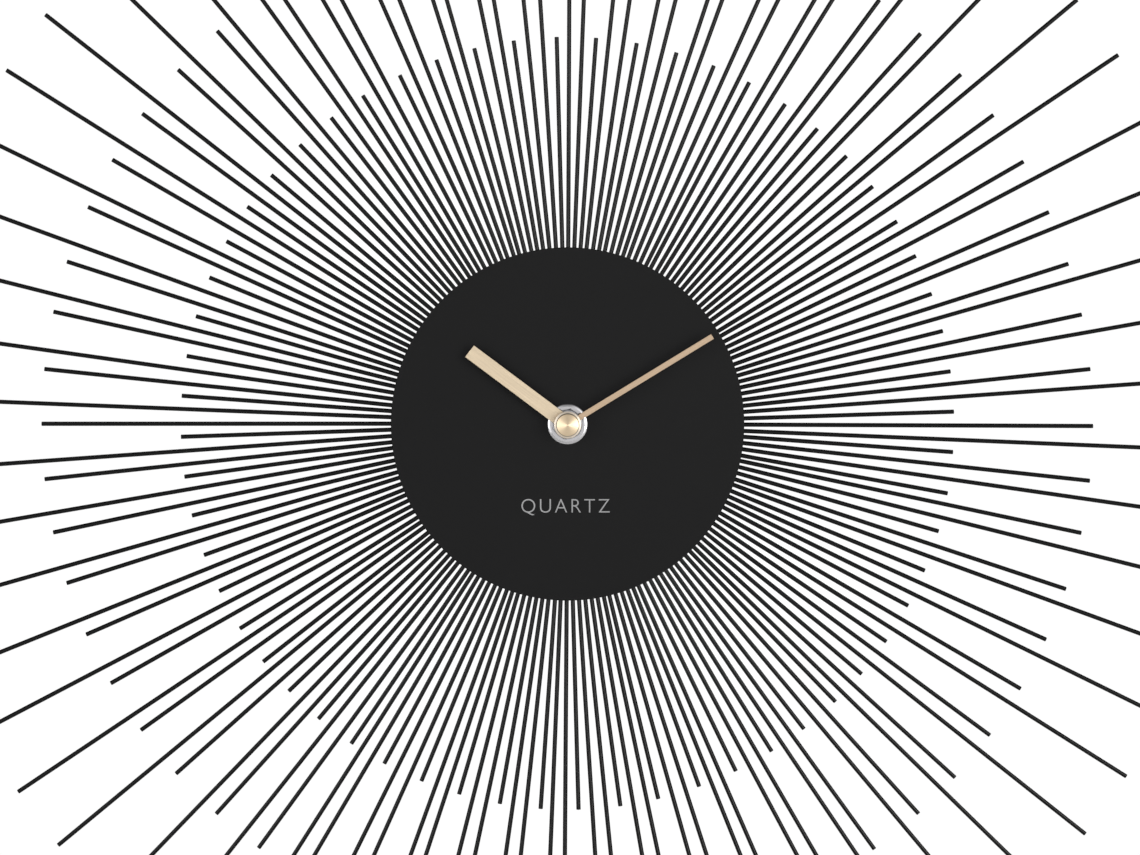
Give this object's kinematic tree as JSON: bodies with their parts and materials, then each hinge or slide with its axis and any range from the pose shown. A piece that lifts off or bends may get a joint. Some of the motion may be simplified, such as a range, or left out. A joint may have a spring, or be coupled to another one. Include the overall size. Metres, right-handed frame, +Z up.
{
  "type": "sunburst wall clock",
  "caption": "Round black wall clock with a plain small dial, two square-ended gold hands, a domed cap nut and a sunburst of straight wire rays in three alternating lengths.",
  "frame": {"origin": "on the hand axis, in the plane of the rays, midway between the tip of the cap nut and the wall", "axes": "+X right and +Z up as seen from in front of the clock, +Y along the hand axis into the wall; the face looks towards -Y"},
  "size_m": [0.5996, 0.038, 0.5996],
  "materials": {
    "black_dial": "satin black powder coat, very fine grain",
    "black_wire": "satin black paint on round steel wire",
    "black_steel": "satin black paint on sheet steel",
    "zinc_steel": "bright zinc plated steel",
    "soft_rivet": "plain aluminium",
    "black_nylon": "moulded nylon, matt",
    "pad_foam": "matt foam rubber",
    "black_rubber": "matt rubber",
    "brass": "turned brass",
    "nickel": "bright nickel plate, turned",
    "case_plastic": "moulded ABS, fine spark texture",
    "bridge_plastic": "moulded acetal",
    "gear_plastic": "moulded acetal",
    "hand_metal": "champagne gold anodised aluminium, brushed lengthwise",
    "cap_brass": "turned and lacquered brass",
    "magnet": "sintered ferrite",
    "lamination": "bare electrical steel",
    "bobbin_plastic": "green moulded plastic",
    "copper": "enamelled copper wire, tight winding",
    "board": "printed board with solder mask",
    "crystal_can": "nickel plated can",
    "resin": "black epoxy blob",
    "contact_steel": "nickel plated spring strip",
    "cell": "printed sleeve over a metal can"
  },
  "bodies": {
    "clock": {"dial_plate": "black_dial", "dial_studs": "zinc_steel", "stud_nuts": "zinc_steel", "stud_washers": "zinc_steel", "carrier_ring": "black_steel", "rays_short": "black_wire", "rays_medium": "black_wire", "rays_long": "black_wire", "hanger_bracket": "black_steel", "hanger_rivets": "soft_rivet", "standoffs": "black_nylon", "standoff_screws": "zinc_steel", "wall_pads": "pad_foam", "gasket": "black_rubber", "threaded_post": "brass", "post_washer": "nickel", "post_nut": "nickel", "case_front": "case_plastic", "case_back": "case_plastic", "train_bridge": "bridge_plastic", "bridge_screws": "zinc_steel", "stator": "lamination", "coil_core": "lamination", "coil_bobbin": "bobbin_plastic", "coil_winding": "copper", "circuit_board": "board", "quartz_crystal": "crystal_can", "chip_cover": "resin", "contact_positive": "contact_steel", "contact_negative": "contact_steel"},
    "minute": {"minute_hand": "hand_metal", "minute_bush": "brass", "cannon_pinion": "brass", "center_wheel": "gear_plastic", "cap_nut": "cap_brass"},
    "hour": {"hour_hand": "hand_metal", "hour_bush": "brass", "hour_wheel": "gear_plastic"},
    "works": {"works_wheel": "gear_plastic"},
    "setting": {"setting_arbor": "gear_plastic", "setting_knob": "gear_plastic"},
    "third": {"third_wheel": "gear_plastic"},
    "seconds": {"seconds_wheel": "gear_plastic"},
    "intermediate": {"intermediate_wheel": "gear_plastic"},
    "rotor": {"rotor_pinion": "gear_plastic", "rotor_magnet": "magnet"},
    "cell": {"battery": "cell"}
  },
  "joints": [
    {"name": "minute_spin", "type": "hinge", "parent": "clock", "child": "minute", "pos_m": [0, 0, 0], "axis": [0, 1, 0], "continuous": true},
    {"name": "hour_spin", "type": "hinge", "parent": "clock", "child": "hour", "pos_m": [0, 0, 0], "axis": [0, 1, 0], "continuous": true},
    {"name": "works_spin", "type": "hinge", "parent": "clock", "child": "works", "pos_m": [0.00985, 0, -0.00174], "axis": [0, 1, 0], "continuous": true},
    {"name": "setting_spin", "type": "hinge", "parent": "clock", "child": "setting", "pos_m": [0.01727, 0, 0.00569], "axis": [0, 1, 0], "continuous": true},
    {"name": "third_spin", "type": "hinge", "parent": "clock", "child": "third", "pos_m": [0.0054, 0, 0.00935], "axis": [0, 1, 0], "continuous": true},
    {"name": "seconds_spin", "type": "hinge", "parent": "clock", "child": "seconds", "pos_m": [0, 0, 0], "axis": [0, 1, 0], "continuous": true},
    {"name": "intermediate_spin", "type": "hinge", "parent": "clock", "child": "intermediate", "pos_m": [-0.00935, 0, 0.0054], "axis": [0, 1, 0], "continuous": true},
    {"name": "rotor_spin", "type": "hinge", "parent": "clock", "child": "rotor", "pos_m": [-0.01199, 0, 0.01264], "axis": [0, 1, 0], "continuous": true},
    {"name": "battery_out", "type": "slide", "parent": "clock", "child": "cell", "axis": [0, 1, 0], "range_m": [0, 0.025]}
  ],
  "couplings": [
    {"joint": "hour_spin", "follows": "minute_spin", "ratio": 0.083333},
    {"joint": "works_spin", "follows": "minute_spin", "ratio": -0.33333},
    {"joint": "setting_spin", "follows": "minute_spin", "ratio": 0.83333},
    {"joint": "third_spin", "follows": "minute_spin", "ratio": -7.5},
    {"joint": "seconds_spin", "follows": "minute_spin", "ratio": 60},
    {"joint": "intermediate_spin", "follows": "minute_spin", "ratio": -300},
    {"joint": "rotor_spin", "follows": "minute_spin", "ratio": 1800}
  ]
}
